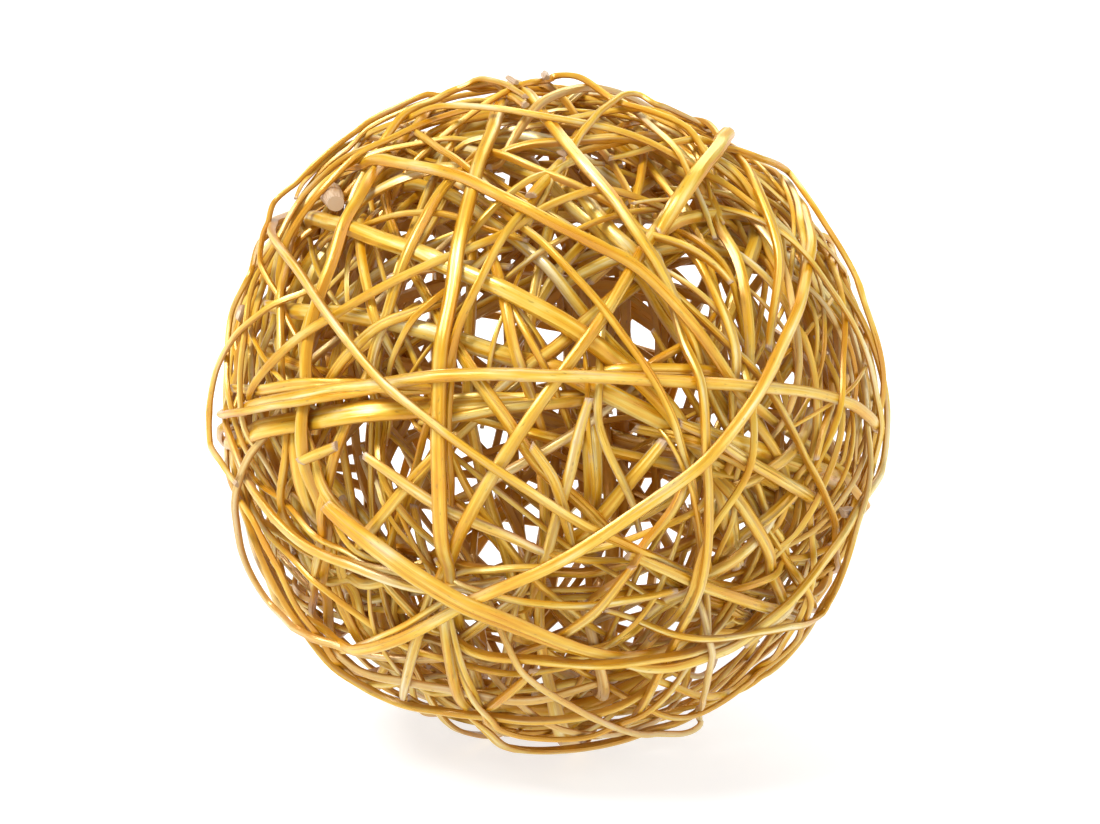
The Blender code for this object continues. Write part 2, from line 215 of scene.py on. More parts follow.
# Strands that wander off the hoops: kind, flags, then degrees right, degrees up and
# millimetres from the ball centre of every place passed. Flags: f and l, the first and the
# last end show; k, kinked; b, bare wood.
TRAILS = list(read_rows("""
thin k: -68.5 66.5 100.5, -74.5 57.5 101, -77.5 48.5 99.5, -78.5 42.5 100, -79.5 37 102.5, -71.5 30.5 99.5,
    -64 25
thin: -64.5 36.5 98.5, -63.5 29, -65.5 22, -63 15.5, -61 7.5, -60.5 1
thin: -80.5 30.5 98.5, -68 23.5, -72 17, -69.5 9, -66 1
thin l: -61 14 99.5, -72 7, -78 1, -81.5 -5.5, -70 -8, -62 -12
slim: -64.5 -11 98.5, -68.5 -16, -78.5 -23.5, -80.5 -29 100.5, -80 -35 99, -59.5 -39.5 98.5, -52.5 -43.5
thin: -65.5 -15.5 98.5, -61 -17.5, -57.5 -26.5, -59.5 -34.5, -59.5 -43, -63 -47.5
slim: -67.5 -38.5 97.5, -59.5 -45.5, -56.5 -48.5, -44 -50.5, -30 -52, -8 -56
slim: -65.5 -41 98.5, -63 -47.5, -57.5 -54, -50 -57, -32.5 -58, -6 -61, 22 -57.5
thin: -20.5 -52.5 99.5, -17.5 -59, -18.5 -62, -11.5 -66, 5.5 -67.5, 19 -66.5, 32 -60.5
slim f: -41.5 -67.5 91, -30 -64 96.5, -25 -66 100, -28 -74.5, -21 -81, 18 -77, 40.5 -71.5, 69 -66 100.5
thin k: -6 -44.5 100, -2.5 -48, 6.5 -54, 17 -59.5, 27.5 -63.5, 54 -68.5, 68.5 -66.5 102.5, 70.5 -63.5 104.5,
    71.5 -62.5 103.5, 72 -62.5 100, 48 -54, 41 -47.5, 38 -43
thin: 62 -32 100, 76 -41.5, 77.5 -47.5 101.5, 76.5 -51 100, 66.5 -52, 67 -55.5, 64.5 -60, 47 -61.5
thin: 62 -30.5 98.5, 64.5 -36.5, 64.5 -41, 77.5 -49 99.5, 76 -54.5 99, 50.5 -55.5 98.5
slim: 81.5 4.5 99.5, 81.5 -3 100, 81.5 -9.5 99.5, 71.5 -13 99, 68 -16.5, 62 -21, 57.5 -25.5, 54 -31.5,
    48 -38.5, 40 -42.5, 31 -45
thin: 69 -11 100, 67.5 -18, 69 -22, 72.5 -27.5, 80 -34 100.5, 79.5 -36 101, 74.5 -37 100, 58 -37,
    46.5 -37.5, 31.5 -38.5
thin: 42 51 99.5, 55 50, 56 47.5, 61 46, 78.5 44.5 100, 71.5 39.5 99.5, 70 32.5, 74 22.5, 71.5 18,
    73.5 13.5, 77 7.5, 78 3
thin: 51 29.5 98.5, 54.5 24, 64.5 13, 68.5 8, 74.5 -3
slim: 58.5 50.5 98.5, 49.5 39, 46 25.5
thin: 78.5 43.5 98, 60 33.5, 58 29
thin: 47.5 28 97, 47 20.5, 46 13, 45.5 6.5
thin: 65 19 97, 62 14, 58.5 9.5, 56 4.5, 54.5 -1.5
thin: 79.5 -36 101, 77.5 -48 101.5, 77 -50 100.5
thin l: -74.5 57 100, -68.5 66.5 100.5, -54.5 75.5 99.5, -20.5 71 98.5, -7 61.5
slim l: -57.5 58 97.5, -59.5 64, -65.5 70 98, -57 75 98.5, -48 78 98, -16 68.5 97.5, -6.5 59
thin: -13.5 71.5 99.5, -6.5 72.5, 4.5 81.5, 19.5 75.5, 20.5 66, 23.5 61.5, 40.5 53, 42 47, 45.5 43.5
thin k: 3 46 93, 9.5 52.5 97, 12 54 99, 14.5 56 100, 25.5 62 101, 31.5 63.5, 35.5 63, 36.5 61 100.5,
    37.5 60 100, 45 61 98
slim: -2.5 61 98.5, 15.5 69.5
thin: 32 60.5 98.5, 39 59, 44 51.5, 44 48, 47 42.5
strip: -44 -3 96, -38.5 -15.5
thin: -52.5 -43.5 98.5, -36.5 -39, -30.5 -37
wisp l: -78 47 98.5, -79 43 99, -64 37 98.5
thin: -58.5 46.5 97, -63.5 41.5, -65 37, -65.5 32
thin: -56.5 46.5 96, -58.5 40, -62 34.5, -63 30.5
strip: -47.5 40.5 92, -42 43, -34 47
thin: -73 62 94.5, -30 50.5, -16.5 43.5
slim: -70 56.5 91.5, -62 58, -73 63
thin: -45 34 93, -40.5 34, -32 35.5, -21.5 35.5
thin: -0.5 44 94.5, -8.5 38.5
slim l: -13 49.5 93.5, -4.5 46, 11 39, 18.5 34, 30.5 26.5, 33.5 23.5, 35 21
thin: 35 67 96, 32 61.5, 32 54, 34.5 47
wisp: 38 60 95, 37.5 57, 42.5 55, 43.5 51.5, 43 49.5
thin: 37.5 59.5 89, 24 45.5, 21 41
wisp f: 16 35.5 95.5, 23.5 37.5, 28 39
thin: 5.5 32 92.5, 14 35.5
rod: 12 35.5 87, 13.5 32, 16 29.5
strip fl: 4.5 49 92, -4 37.5
slim: 50 48.5 95, 49.5 44.5, 54 39.5
rod: 54.5 35 88, 47.5 30.5, 41 23.5
thin: 50.5 39.5 92.5, 52 38.5, 50.5 34.5, 51 31.5
wisp: 81 29.5 96, 67.5 21 95.5
wisp: 66.5 32.5 96.5, 67.5 30, 73 28
wisp: 78.5 46 97.5, 67 41.5, 61 35
wisp: 65.5 45.5 97, 63 40.5, 65.5 39
thin: 45.5 23 93, 48.5 18
wisp: 43.5 18.5 91.5, 45 16.5, 47.5 14.5
wisp: 63 20 92.5, 59.5 14.5, 57.5 9
wisp: 60 19 91, 57.5 11
wisp: 60 18.5 95, 63 13.5
wisp: 64 12 96.5, 65.5 4.5
wisp: 67 7 97.5, 59 3
slim l: 56 0.5 95.5, 53.5 -2, 50 -8.5
thin: 60 -0.5 95, 59.5 -3, 55.5 -12.5
wisp: 64.5 0 95.5, 64.5 -6.5, 64 -10
thin: 72.5 -3.5 96, 71 -7.5, 61.5 -16.5
strip: 35 -8 94.5, 46.5 -12.5, 53.5 -14.5
thin: 35 1 96, 35 -7.5, 34 -10.5, 29 -18.5, 28 -22, 27.5 -26, 28 -30.5
slim: 41 -9.5 92.5, 47.5 -6
strip: 35 -14.5 93.5, 38.5 -18.5, 46.5 -25, 52.5 -30.5, 60 -35
slim: 42 -19.5 93.5, 44 -17, 47 -14.5
slim l: 29.5 -29.5 95.5, 36 -31, 43.5 -33, 56 -35.5, 80 -37.5 98
slim: 55 -16.5 90.5, 53 -24
broad: 31 -8.5 88.5, 36 -15
slim: 30 -6.5 92.5, 35 -8.5
slim: 35 -28.5 92.5, 40.5 -23.5
wisp: 24.5 -12.5 94.5, 27.5 -20.5
slim: 22.5 -14.5 94.5, 18.5 -20, 17 -23
thin: 25 -17.5 92.5, 14.5 -22
slim f: 15 -24 97.5, 9 -33.5, 5.5 -36.5
thin l: -7 -32.5 94, 8 -33.5, 14 -32.5, 26 -30.5
wisp: 6.5 -0.5 92, 7 -6
thin: 8 1 93, 8 -2, 10 -7, 11.5 -9.5
rod: 7.5 -5 86.5, 8.5 -15.5
slim: 15.5 7 92.5, 23.5 7
thin: 18.5 8.5 90.5, 24.5 11.5
thin f: 21 24 93.5, 27 20.5
thin: 33 29.5 91, 35.5 27, 36.5 25
slim: 30 26 92.5, 30.5 21.5, 32.5 14.5, 33.5 7
thin: -24 15.5 91.5, -18 21
wisp: -22 11.5 89, -25 6
wisp: -8.5 18.5 90.5, -10 11.5
slim: -7.5 18.5 92, -5.5 9.5
thin: -6 17.5 91, -1.5 9.5
wisp: -5 17.5 89.5, -2 14, -0.5 11
slim: -2.5 8.5 90.5, 0.5 10, 3 12.5
slim f: -31.5 -6.5 95.5, -28 -8.5, -16 -16.5, -13.5 -17.5
thin: -36.5 -26 94, -32.5 -26.5, -24.5 -28.5, -20 -30.5
strip: -35.5 -29 92.5, -32 -32.5, -28 -37.5
slim f: -3 -4.5 95.5, -1.5 -7, 0.5 -9, 1.5 -11.5
slim: -8 -10.5 91.5, 4.5 -3.5
thin: -8.5 -20.5 91.5, -5.5 -22.5, 3 -25
thin: -29.5 -11 92.5, -27.5 -15
wisp: -31 -19 88, -26 -27.5
wisp: -28.5 -18.5 87.5, -25 -27.5
thin f: -19 -29 92.5, -15.5 -27.5, -6 -26.5
thin: -16.5 9 94, -16.5 -3
strip: 37 0 90.5, 44 -8
stub flb: -79 45 92, -54.5 39 94.5, -49 36.5 95
strip flb: -71 18 97.5, -70 17 98, -70 15.5
slim fl: -47.5 -56 97, -47 -58.5, -42.5 -59
rod f: 60 53 101.5, 49 49.5 101.3, 42 46 101, 36 43 100
strip flb: 63 -17 96, 72 -17
slim flb: -0.5 72 98.5, -1.5 74.5 99.5, -4.5 81.5 100.5
thin flb: -25 74 100, -13.5 68.5
strip f: 2.5 49.5 93.5, 19.5 53.5, 30.5 57
slim: -6.5 51.5 94.5, 3 51.5, 14.5 52.5, 23.5 53.5
rod: -75 59.5 88.5, -44 62.5 87, -20.5 63.5, 4.5 60.5
slim: -70 66.5 92.5, -59.5 75 90, -4 68 89.5, 20.5 62
slim: 50 53.5 88.5, 51 42, 52.5 30.5, 54 20.5
strip: 23 33.5 88, 37 37.5, 53.5 38.5
rod: 19 30 86.5, 32 32.5, 45 32, 57 29
slim: -17.5 2 89.5, -13 2.5, -3 2.5
slim: -8 0.5 90.5, 2 1.5
slim: -24 -32 90.5, -23 -38.5
slim: -66.5 30.5 93.5, -57.5 21.5, -53.5 12, -51.5 2.5, -51 -8, -55.5 -15.5
strip: -49.5 -4 92, -49 -8, -49 -13.5, -50 -19.5
strip fl: -43.5 -8 98.5, -34 -5
slim: -65 -11 96, -54.5 -19, -49.5 -22, -44.5 -24, -38 -25.5, -26 -29.5
slim: -47.5 -32 90.5, -35.5 -31
wisp: -40 -21.5 93.5, -38 -23.5, -35.5 -25
wisp: -65 14.5 96, -55 8.5, -51 6
thin: -65.5 13 94.5, -62.5 9, -62 4.5
wisp: -44.5 31 91, -41 23, -40 18.5
slim: -42 31.5 92, -33 19
slim f: -68.5 4 97, -54 3.5, -43.5 4.5, -33 4.5
thin: -70.5 -0.5 98, -58.5 0, -49 1, -42.5 1.5
slim f: -31 23 92.5, -24 25.5
slim: -36.5 10 91, -39.5 7, -42 3.5
slim: -30.5 14 93.5, -38 7.5
wisp: -47.5 15 94, -48 13, -49.5 10.5
strip: -49.5 -35 93.5, -49 -38, -49.5 -42
wisp: -41.5 -43 96, -41 -47, -42 -50.5
slim l: -30.5 -42 97.5, -40 -51, -47.5 -55.5
slim: -51.5 -45.5 93.5, -51 -48, -51.5 -51.5
slim: -22 -42.5 97.5, -24 -51, -26.5 -58
wisp: -19.5 -44 98.5, -19.5 -54.5, -20.5 -64
slim f: -2.5 -44.5 98.5, -6 -48.5, -11 -52, -17.5 -57
slim: -12.5 -38 90.5, -20 -42.5
thin: -8 -39.5 90, -11 -47.5
thin: 0.5 -63.5 99, 22 -68.5
slim: 14 -50 92, 17 -55, 19.5 -60
wisp: 15.5 -42 92.5, 22 -33
thin: 18 -43 92.5, 28.5 -35.5
wisp: 33 -31 93, 36 -36.5, 41 -42.5
slim f: 47 -42 98, 52 -37.5, 55.5 -36
"""))

# Openings that show the floor right through the ball: degrees right, degrees up, radius
OPENINGS = read_places("""
15.5 11.5 3.2, -11 -23 3, 44 -40 2.9, -26 -7 2.4, -3 -16.5 2.3, 36.5 -20.5 2.4, -28 33 2.1, -26 38 2.1,
    27.5 23.5 2.1, -11.5 14 2, -5.5 26 1.9, -10 43 1.9, -7.5 -18 1.8, -8 12 1.7, -14.5 20 1.5,
    -34 -13.5 1.6, 6 -45.5 1.5, 28 17 1.5, 20 -12 1.5, 12 48 1.4, -39.5 9 1.4, -11.5 19 1.4, -37 -14.5 1.4,
    40.5 23 1.3, -1 14.5 1.3, 39.5 -2 1.3, -10.5 -4.5 1.2, 12 14 1.2, -16 -42.5 1.2, 24 -6.5 1.2,
    29 42.5 1.1
""").T

# How the willow varies along a strand: how far apart the changes lie, and how large they are
ASIDE_EVERY = 0.075
ROLLS = (0.10, math.radians(13))
WIDENS = (0.07, 0.10)
THICKENS = (0.06, 0.08)
RIPPLES = (0.035, 0.045)
TWIST, TWIST_LENGTH = 40, 0.02  # one twist in each strand, of up to so many degrees
WIDTH_SPREAD = 0.10  # strands of one kind differ by this share
BUDS = (0.055, 0.120)  # distances between the nodes of old buds
BUD_LENGTH, BUD_WIDER, BUD_THICKER = 0.0022, 0.13, 0.22
TAPER, TAPER_LENGTH = 0.28, 0.018  # share by which an end is smaller, and over what length
SLANT = 0.9  # how far cut ends slant, against half the width
CUT_BARE, BUD_BARE = 0.0015, 0.55  # length of bare wood at cut ends, and how bare nodes are
SHARP = math.radians(38)  # steeper edges are shaded as creases
WOVEN_TONES = 0.75  # the duller tones beyond this are left to the strands that are added

# Settling: all strands are pushed in or out until they just touch where they cross
ROUNDS, CALM_ROUNDS = 36, 6  # the last rounds no longer even out the strands
MEETING_LEVEL = 0.093  # mean distance from the centre at which strands meet
SEARCH_LEVEL = 0.09  # a little less, so that no meeting is missed
ONE_MEETING = 4  # samples further apart belong to another meeting
PACKED = 0.97  # share of the thickness that a crossing needs
PUSH, PUSH_GAIN = 0.6, 1.25  # share of the overlap taken up in one round
EVENING = 0.25  # share by which a round evens a strand out


def hoop_axes(lean, swing):
    """Right, away and axis directions of a hoop, as the columns of a matrix."""
    return np.array(WEAVE @ Matrix.Rotation(-lean, 3, "Y") @ Matrix.Rotation(-swing, 3, "X"))


def smooth(values, reach):
    """Gaussian smoothing along a strand; reach is in samples."""
    half = int(math.ceil(3 * reach))
    kernel = np.exp(-0.5 * (np.arange(-half, half + 1) / reach) ** 2)
    kernel /= kernel.sum()
    padded = np.concatenate([np.repeat(values[:1], half, 0), values,
                             np.repeat(values[-1:], half, 0)])
    if values.ndim == 1:
        return np.convolve(padded, kernel, "valid")
    return np.stack([np.convolve(padded[:, k], kernel, "valid")
                     for k in range(values.shape[1])], -1)


def rising(values, start, span):
    """0 up to start, then rising evenly to 1 over the span."""
    return np.clip((values - start) / span, 0, 1)


def unit(vectors):
    """The same directions with a length of one."""
    return vectors / np.linalg.norm(vectors, axis=-1, keepdims=True)


def facing(rays):
    """How squarely each direction looks at the viewer: 1 nearest, 0 at the outline."""
    return rays @ AWAY


def toward(turn, rise):
    """Directions from the ball centre, from degrees right of the viewer and degrees up."""
    turn, rise = np.radians(turn), np.radians(rise)
    rays = np.stack([np.cos(rise) * np.sin(turn), -np.cos(rise) * np.cos(turn), np.sin(rise)], -1)
    return rays @ np.array(WEAVE).T


def knotted(rng, length, spacing, amount, along):
    """A wandering value: random knots about spacing apart, joined by straight lines."""
    beyond = 0.02
    count = max(3, int(length / spacing) + 2)
    places = np.linspace(-beyond, length + beyond, count)
    places += rng.uniform(-0.3, 0.3, count) * spacing
    return np.interp(along, np.sort(places), rng.uniform(-amount, amount, count))


def sampled(stations, radii, loose):
    """Samples of a hoop: straight stretches between its stations, eased a little."""
    count = len(stations) - 1
    place = np.linspace(0.0, count, count * PER_STRETCH + 1)
    k = np.minimum(place.astype(int), count - 1)
    part = (place - k) * STRETCH
    near, far = radii[k], radii[k + 1]
    chord = math.sin(STRETCH) / (np.sin(STRETCH - part) / near + np.sin(part) / far)
    padded = np.concatenate([2 * stations[:1] - stations[1:2], stations,
                             2 * stations[-1:] - stations[-2:-1]])
    p0, p1, p2, p3 = (padded[k + i] for i in range(4))
    t = (place - k)[:, None]
    line = 0.5 * (2 * p1 + (p2 - p0) * t + (2 * p0 - 5 * p1 + 4 * p2 - p3) * t * t
                  + (3 * p1 - p0 - 3 * p2 + p3) * t ** 3)
    return unit(line), smooth(chord, loose * PER_STRETCH)


class Strand:
    """One willow strand: directions and distances from the ball centre, and its section."""

    def __init__(self, name, kind, rays, reach, number, node=None, ends="", placed=None):
        self.name, self.kind, self.node, self.number = name, kind, node, number
        self.rng = np.random.default_rng(1000 + number)
        self.width, self.thick = KINDS[kind][:2]
        self.width *= WIDTHS.get(name, 1.0)
        self.unit, self.reach, self.ends = rays, reach, ends
        self.slim = np.zeros_like(reach)
        self.trail = placed is not None
        self.along = self.measure()
        self.first_reach = reach.copy()
        shown = placed if self.trail else np.zeros_like(reach)
        if name in BENDS:
            shown = self.bend(*BENDS[name][:2])
        elif not self.trail:
            self.wander()
        if kind == "foot":
            shown = 1 - rising(self.unit[:, 2], *RESTS)
        self.clear(1 - shown)
        if node:
            self.sink(shown)

    def measure(self):
        """Lengths along the strand, from its first end to every sample."""
        points = self.unit * self.reach[:, None]
        steps = np.linalg.norm(np.diff(points, axis=0), axis=1)
        return np.concatenate([[0.0], np.cumsum(steps)])

    def wander(self):
        """Bend the strand a little to and fro on the ball."""
        amount = WANDERS.get(self.kind, WANDERS["other"])
        aside = smooth(knotted(self.rng, self.along[-1], ASIDE_EVERY, amount, self.along), 0.9)
        ahead = unit(np.gradient(self.unit, axis=0))
        side = np.cross(ahead, self.unit)
        self.unit = unit(self.unit + side * (aside / self.reach)[:, None])

    def bend(self, turn, rise):
        """Draw the strand sideways through places, easing off over the next two stretches.

        Returns where it shows: 1 between the places and 0 beyond them."""
        rays = toward(turn, rise)
        at, first = np.unique((rays @ self.unit.T).argmax(1), return_index=True)
        shift = rays[first] - self.unit[at]
        at = np.concatenate([[at[0] - EASE], at, [at[-1] + EASE]])
        shift = np.pad(shift, ((1, 1), (0, 0)))
        index = np.arange(len(self.unit))
        moved = np.stack([np.interp(index, at, shift[:, k]) for k in range(3)], -1)
        self.unit = unit(self.unit + smooth(moved, 2.0))
        between = (index >= at[1] - MARGIN) & (index <= at[-2] + MARGIN)
        return smooth(between.astype(float), 2.5)

    def clear(self, free):
        """Draw the strand aside where it would cross an opening and is free to give way."""
        if self.number % STEADY == 0:  # some hold their course on the far side
            free = free * (facing(self.unit) > 0)
        for _ in range(CLEARINGS):
            points = CENTRE + self.unit * self.reach[:, None]
            ahead = unit(np.gradient(points, axis=0))
            side = unit(np.cross(ahead, self.unit))
            shift = np.zeros_like(self.reach)
            for turn, rise, size in OPENINGS:
                spot = CENTRE + toward(turn, rise) * NEAR_SIDE
                line = unit(spot - EYE)
                along = (points - EYE) @ line
                aside = points - EYE - along[:, None] * line
                across = (aside * side).sum(1)
                ahead_by = (aside ** 2).sum(1) - across ** 2
                room = size / 1000 * along / np.linalg.norm(spot - EYE) + self.width / 2
                half = np.sqrt(np.maximum(room ** 2 - ahead_by, 0))
                lack = np.maximum(half - np.abs(across), 0) * free
                hit = np.flatnonzero(lack)
                for run in np.split(hit, np.flatnonzero(np.diff(hit) > 1) + 1):
                    if len(run):
                        sign = 1.0 if across[run][lack[run].argmax()] >= 0 else -1.0
                        shift[run] += sign * (half[run] - sign * across[run]) * free[run]
            moved = smooth(shift, ASIDE_REACH) * ASIDE_GAIN / self.reach
            self.unit = unit(self.unit + side * moved[:, None])

    def sink(self, shown):
        """Let a woven strand pass deeper and narrower where the viewer doesn't see it."""
        hidden = (1 - shown) * rising(facing(self.unit), *SINKS)
        depth = SUNK + self.rng.uniform(-SUNK_SPREAD, SUNK_SPREAD)
        if self.kind == "rod":
            depth -= RODS_DEEPER
        self.reach = self.reach - smooth(hidden * np.maximum(self.reach - depth, 0), 2.5)
        self.reach += LIFTS.get(self.name, 0.0) * shown
        near = 1.0 if self.kind == "foot" else rising(facing(self.unit), *THINS)
        narrower = UNSEEN.get(self.kind, UNSEEN["other"])
        self.slim = smooth(near * (1 - shown), 3.0) * narrower

    def limits(self):
        """Least and greatest distance of each sample from the ball centre."""
        room = self.thick / 2
        down = np.maximum(-self.unit[:, 2], 0.01)
        if self.trail:
            most = np.maximum(OUTERMOST, self.first_reach)
        else:
            most = OUTERMOST - LIMB_ROOM * np.exp(-(facing(self.unit) / LIMB_REACH) ** 2)
        high = np.minimum(most, (HEIGHT - FLOOR_GAP) / down) - room
        return np.full(len(high), INNERMOST + room), high

    def yielding(self):
        """How readily the strand gives way where it meets another."""
        if self.kind == "foot":
            return 0.02
        return 0.25 if self.node or self.trail else 1.0


def read_node(name, thing, number):
    """A strand from its CAD solid: the middle of every ring of four corners."""
    points = np.empty(len(thing.data.vertices) * 3)
    thing.data.vertices.foreach_get("co", points)
    points = np.unique(np.round(points.reshape(-1, 3), 6), axis=0) - CENTRE
    rays = unit(points)
    middle = rays.mean(0)
    axis = np.linalg.svd(rays - middle)[2][2]
    askew = [0.123, 0.456, 0.881]  # any direction that isn't the axis
    right = unit(np.cross(axis, askew))
    away = np.cross(axis, right)
    turn = np.arctan2(rays @ away, rays @ right)
    order = np.argsort(turn)
    turn = turn[order]
    gaps = np.diff(np.concatenate([turn, turn[:1] + 2 * math.pi]))
    between = np.flatnonzero(gaps > RING_GAP)
    odd = np.abs(gaps[between] - STRETCH)  # the opening isn't a whole stretch wide
    cut = int(between[odd.argmax()]) + 1
    order, gaps = np.roll(order, -cut), np.roll(gaps, -cut)
    rings, ring = [], [order[0]]
    for corner, gap in zip(order[1:], gaps[:-1]):
        if gap > RING_GAP:
            rings.append(ring)
            ring = []
        ring.append(corner)
    rings.append(ring)
    centres = np.array([points[ring].mean(0) for ring in rings])
    reach = np.linalg.norm(centres, axis=1)
    kind = name.split("_")[0]
    rays, reach = sampled(centres / reach[:, None], reach, KINDS[kind][2])
    return Strand(name, kind, rays, reach, number, name)


def new_strand(name, kind, lean, swing, level, arc, number):
    """A hoop that the CAD weave leaves out, wound at its own level over the given arc."""
    rng = np.random.default_rng(5000 + number)
    axes = hoop_axes(math.radians(lean), math.radians(swing))
    count = round(math.radians(arc[1] - arc[0]) / STRETCH)
    angles = math.radians(arc[0] - 90.0) + STRETCH * np.arange(count + 1)
    local = np.stack([np.cos(angles), np.sin(angles), np.zeros_like(angles)], -1)
    stations = local @ axes.T
    near = rising(facing(stations), 0.15, 0.35)
    radii = level + rng.uniform(-0.0015, 0.0010, count + 1)
    radii += near * np.minimum(NEAR_LEVEL - level, 0)
    for station, dip in enumerate(END_DIPS):
        radii[[station, -1 - station]] -= dip
    return Strand(name, kind, *sampled(stations, radii, KINDS[kind][2]), number)


def run_on(points, rng):
    """Take the last of the points further: down and out of sight. Returns how many are added."""
    on_the_face = facing(unit(points[-1])) > FACE
    drops = FACE_DROPS if on_the_face else TAIL_DROPS
    angle = STRETCH / 2 if on_the_face else STRETCH
    for drop in drops:
        here, before = points[-1], points[-2]
        away = unit(here)
        ahead = here - before
        ahead = unit(ahead - away * (ahead @ away))
        side = np.cross(away, ahead)
        veer = math.radians(rng.uniform(-VEER, VEER))
        ahead = math.cos(veer) * ahead + math.sin(veer) * side
        ray = math.cos(angle) * away + math.sin(angle) * ahead
        if not on_the_face and facing(ray) > COMES_NEAR:
            drop = DIVE
        points.append(ray * max(min(np.linalg.norm(here), TAIL_TOP) - drop, TAIL_FLOOR))
    return len(drops)


def trail_strand(name, kind, flags, places, number):
    """A strand through the given places; an end that doesn't show runs on and dives in."""
    rng = np.random.default_rng(9000 + number)
    turn, rise, far = places
    points = list(toward(turn, rise) * far[:, None] / 1000)
    tails = {"f": 0, "l": 0}
    if "f" not in flags:
        points.reverse()
        tails["f"] = run_on(points, rng)
        points.reverse()
    if "l" not in flags:
        tails["l"] = run_on(points, rng)
    points = np.array(points)
    steps = np.linalg.norm(np.diff(points, axis=0), axis=1)
    place = np.concatenate([[0.0], np.cumsum(steps)])
    step = STEP / 2 if "k" in flags or place[-1] < 4 * STEP else STEP
    count = int(round(place[-1] / step))
    at = np.linspace(0.0, place[-1], count + 1)
    line = np.stack([np.interp(at, place, points[:, k]) for k in range(3)], -1)
    line = smooth(line, 0.9 if kind == "thin" else 1.3)
    reach = np.linalg.norm(line, axis=1)
    first, last = place[tails["f"]], place[len(place) - 1 - tails["l"]]
    placed = ((at >= first - STEP) & (at <= last + STEP)).astype(float)
    return Strand(name, kind, line / reach[:, None], reach, number, ends=flags, placed=placed)


def all_strands():
    """The woven strands of the CAD, the slender hoops, the trails and the fillers."""
    strands = []
    for name, thing in sorted(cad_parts.items()):
        strands.append(read_node(name, thing, len(strands)))
    for i, (kind, lean, swing, level) in enumerate(SLENDER):
        strands.append(new_strand(f"slender_{i + 1:02d}", kind, lean, swing, level, SLENDER_ARC,
                                  len(strands)))
    for i, (head, places) in enumerate(TRAILS):
        kind, _, flags = head.partition(" ")
        strands.append(trail_strand(f"trail_{i + 1:02d}", kind, flags, places, len(strands)))
    for i in range(FILLERS):
        lean = 180.0 * ((i * GOLDEN + FILLER_START) % 1.0) - 90.0
        swing = math.degrees(math.asin((i + 0.5) / FILLERS * 2 - 1))
        level = FILLER_LEVEL + FILLER_RANGE * ((i * FILLER_STEP) % 1.0)
        kind = FILLER_KINDS[i % len(FILLER_KINDS)]
        strands.append(new_strand(f"filler_{i + 1:02d}", kind, lean, swing, level, FILLER_ARC,
                                  len(strands)))
    return strands


# ---------------- letting the strands settle
def meetings(strands):
    """Pairs of samples of two strands that cover each other, and which one lies outside."""
    starts = np.cumsum([0] + [len(s.reach) for s in strands])
    rays = np.concatenate([s.unit for s in strands])
    reach = np.concatenate([s.reach for s in strands])
    owner = np.concatenate([np.full(len(s.reach), i) for i, s in enumerate(strands)])
    tree = kdtree.KDTree(len(rays))
    for i, ray in enumerate(rays):
        tree.insert(ray, i)
    tree.balance()
    half = np.array([s.width / 2 for s in strands])
    thick = np.array([s.thick for s in strands])
    widest = 2 * half.max() / SEARCH_LEVEL
    found = []
    for i, ray in enumerate(rays):
        a = owner[i]
        for _, j, far in tree.find_range(ray, widest):
            b = owner[j]
            if b > a and far * MEETING_LEVEL < half[a] + half[b]:
                found.append((a, b, i, j, far * MEETING_LEVEL))
    found = np.array(found)
    a, b, i, j = (found[:, k].astype(int) for k in range(4))
    spread = found[:, 4] / (half[a] + half[b])
    order = np.lexsort((i, b, a))
    a, b, i, j, spread = (v[order] for v in (a, b, i, j, spread))
    apart = (np.diff(a) != 0) | (np.diff(b) != 0) | (np.diff(i) > ONE_MEETING)
    group = np.cumsum(np.concatenate([[True], apart])) - 1
    lead = np.bincount(group, (reach[i] - reach[j]) * (1.05 - spread))
    sign = np.where(lead >= 0, 1.0, -1.0)[group]
    need = (thick[a] + thick[b]) / 2 * np.sqrt(np.clip(1 - spread ** 3, 0, 1)) * PACKED
    return starts, i, j, sign, need


def settle(strands):
    """Push crossing strands apart, in or out from the ball centre, until they just touch."""
    starts, i, j, sign, need = meetings(strands)
    reach = np.concatenate([s.reach for s in strands])
    low, high = (np.concatenate(part) for part in zip(*(s.limits() for s in strands)))
    loose = np.concatenate([np.full(len(s.reach), s.yielding()) for s in strands])
    share = loose[i] / (loose[i] + loose[j])
    for turn in range(ROUNDS):
        lack = need - sign * (reach[i] - reach[j])
        lack = np.maximum(lack, 0.0) * PUSH
        out, inward = np.zeros_like(reach), np.zeros_like(reach)
        move_i, move_j = sign * lack * share, -sign * lack * (1 - share)
        for where, move in ((i, move_i), (j, move_j)):
            np.maximum.at(out, where, move)
            np.minimum.at(inward, where, move)
        shift = out + inward
        for k, strand in enumerate(strands):
            part = slice(starts[k], starts[k + 1])
            reach[part] += smooth(shift[part], 1.3) * PUSH_GAIN
            if turn < ROUNDS - CALM_ROUNDS and strand.kind != "foot":
                reach[part] += EVENING * (smooth(reach[part], 1.0) - reach[part])
        reach = np.clip(reach, low, high)
    for k, strand in enumerate(strands):
        if strand.kind != "foot":
            strand.reach = reach[starts[k]:starts[k + 1]]
        strand.along = strand.measure()
    left = np.maximum(need - sign * (reach[i] - reach[j]), 0)
    print("settled: meetings", len(i), "mean overlap mm", round(1000 * left.mean(), 3),
          "over 0.5 mm:", int((left > 0.0005).sum()))


# ---------------- sections
def rod_section(rng):
    """A round section, a little uneven, and brown below, on the side toward the ball centre: partly thinner
    paint there, partly painted shade.
    """
    corners = 12
    turn = np.linspace(0, 2 * math.pi, corners, endpoint=False)
    bump = 1 + rng.uniform(-0.05, 0.05, corners)
    brown_and_shade = np.clip(-1.4 * np.sin(turn - 0.2), 0, 1)
    return np.cos(turn) * bump, 0.5 * np.sin(turn) * bump, brown_and_shade


